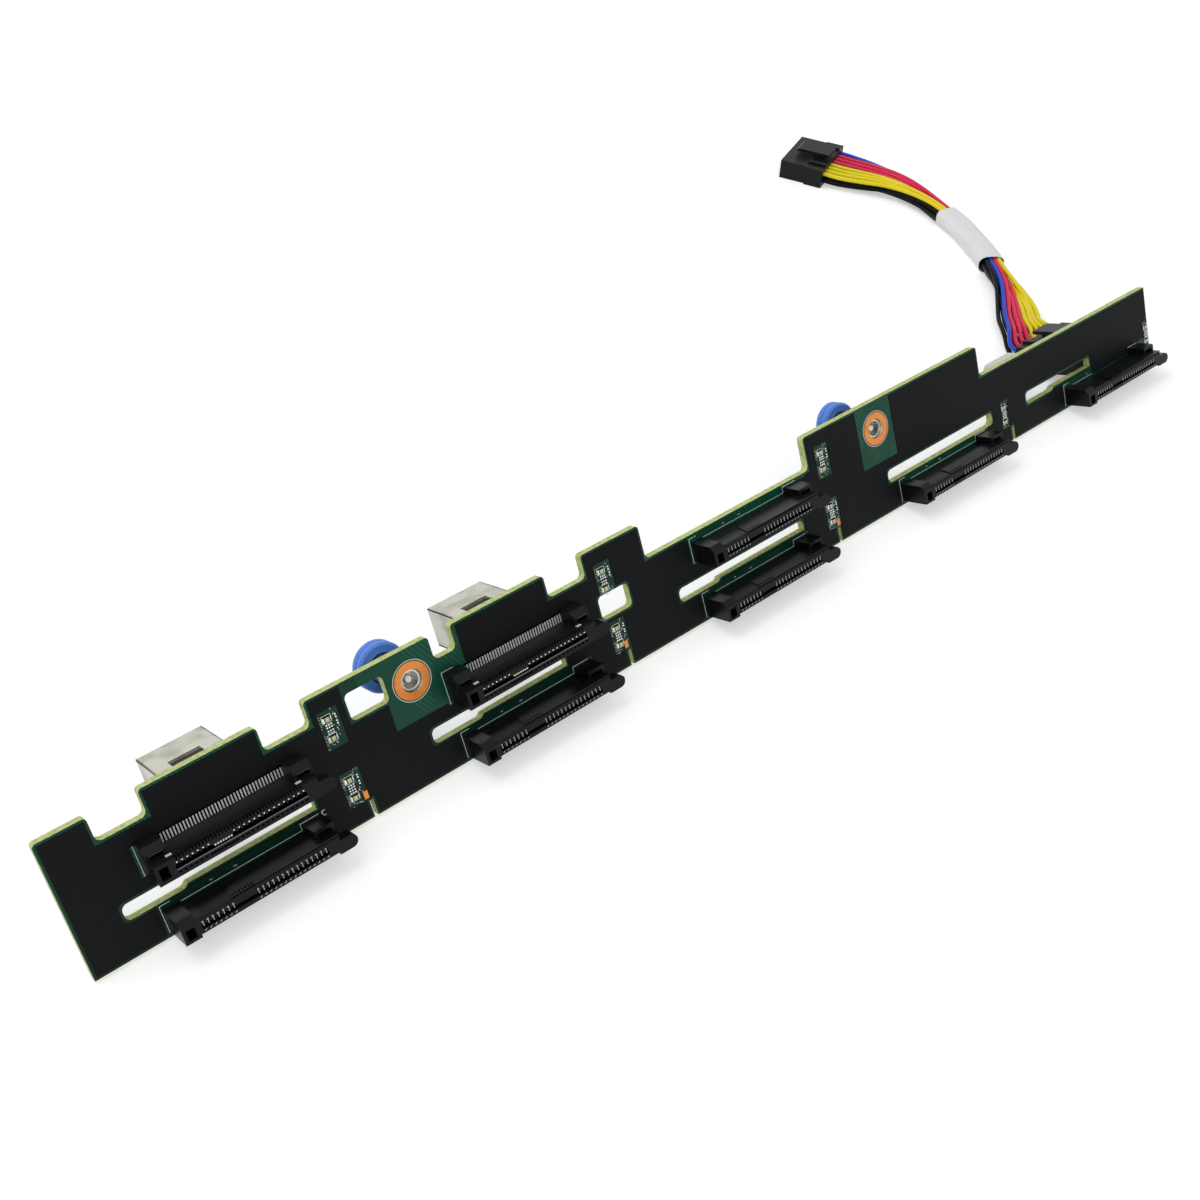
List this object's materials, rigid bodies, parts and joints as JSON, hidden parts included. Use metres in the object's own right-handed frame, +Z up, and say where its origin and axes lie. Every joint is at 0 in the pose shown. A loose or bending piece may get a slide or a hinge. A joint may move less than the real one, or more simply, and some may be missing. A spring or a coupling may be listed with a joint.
{
  "type": "hot-swap drive backplane board",
  "caption": "Long circuit board with drive sockets in rows, blue spring pull plungers, metal cable cages and a short power harness that ends in a plug.",
  "frame": {"origin": "on the floor under the middle of the board with its sockets and knobs, without the harness", "axes": "+X along the board to the harness end, +Y to the rear, +Z up; the board leans back as it rests"},
  "size_m": [0.4251, 0.1947, 0.0336],
  "materials": {
    "board_laminate": "green solder mask, pale cut edges",
    "film_black": "matte",
    "socket_black": "satin moulded",
    "contact_metal": "tin plated",
    "cage_metal": "bright plated sheet",
    "plunger_metal": "nickel plated",
    "spring_steel": "bright wire",
    "knob_blue": "satin",
    "plug_black": "satin moulded",
    "nylon_pale": "satin",
    "wire_insulation": "yellow, red, blue and black sleeves",
    "label_white": "satin film",
    "light_lens": "clear over white",
    "chip_ceramic": "ceramic with tinned ends"
  },
  "bodies": {
    "backplane": {"board": "board_laminate", "cable_cage_left": "cage_metal", "cable_cage_right": "cage_metal", "cable_label": "label_white", "cage_contact_block_left": "socket_black", "cage_contact_block_right": "socket_black", "far_plug": "plug_black", "insulating_film": "film_black", "light_resistors": "chip_ceramic", "lower_socket_1": "socket_black", "lower_socket_1_contacts": "contact_metal", "lower_socket_2": "socket_black", "lower_socket_2_contacts": "contact_metal", "lower_socket_3": "socket_black", "lower_socket_3_contacts": "contact_metal", "lower_socket_4": "socket_black", "lower_socket_4_contacts": "contact_metal", "lower_socket_5": "socket_black", "lower_socket_5_contacts": "contact_metal", "plunger_sleeve_left": "plunger_metal", "plunger_sleeve_right": "plunger_metal", "plunger_spring_left": "spring_steel", "plunger_spring_right": "spring_steel", "power_harness": "wire_insulation", "power_header": "plug_black", "power_header_pins": "contact_metal", "power_plug": "plug_black", "signal_header": "nylon_pale", "signal_header_pins": "contact_metal", "status_lights": "light_lens", "upper_socket_1": "socket_black", "upper_socket_1_contacts": "contact_metal", "upper_socket_2": "socket_black", "upper_socket_2_contacts": "contact_metal", "upper_socket_3": "socket_black", "upper_socket_3_contacts": "contact_metal"},
    "left_plunger": {"plunger_pin_left": "plunger_metal", "plunger_knob_left": "knob_blue"},
    "right_plunger": {"plunger_pin_right": "plunger_metal", "plunger_knob_right": "knob_blue"}
  },
  "joints": [
    {"name": "left_plunger_pull", "type": "slide", "parent": "backplane", "child": "left_plunger", "axis": [0, 0.9059, -0.4236], "range_m": [0, 0.0038], "stiffness_N_per_m": 800, "springref_m": -0.003, "deforming": ["plunger_spring_left"]},
    {"name": "right_plunger_pull", "type": "slide", "parent": "backplane", "child": "right_plunger", "axis": [0, 0.9059, -0.4236], "range_m": [0, 0.0038], "stiffness_N_per_m": 800, "springref_m": -0.003, "deforming": ["plunger_spring_right"]}
  ]
}
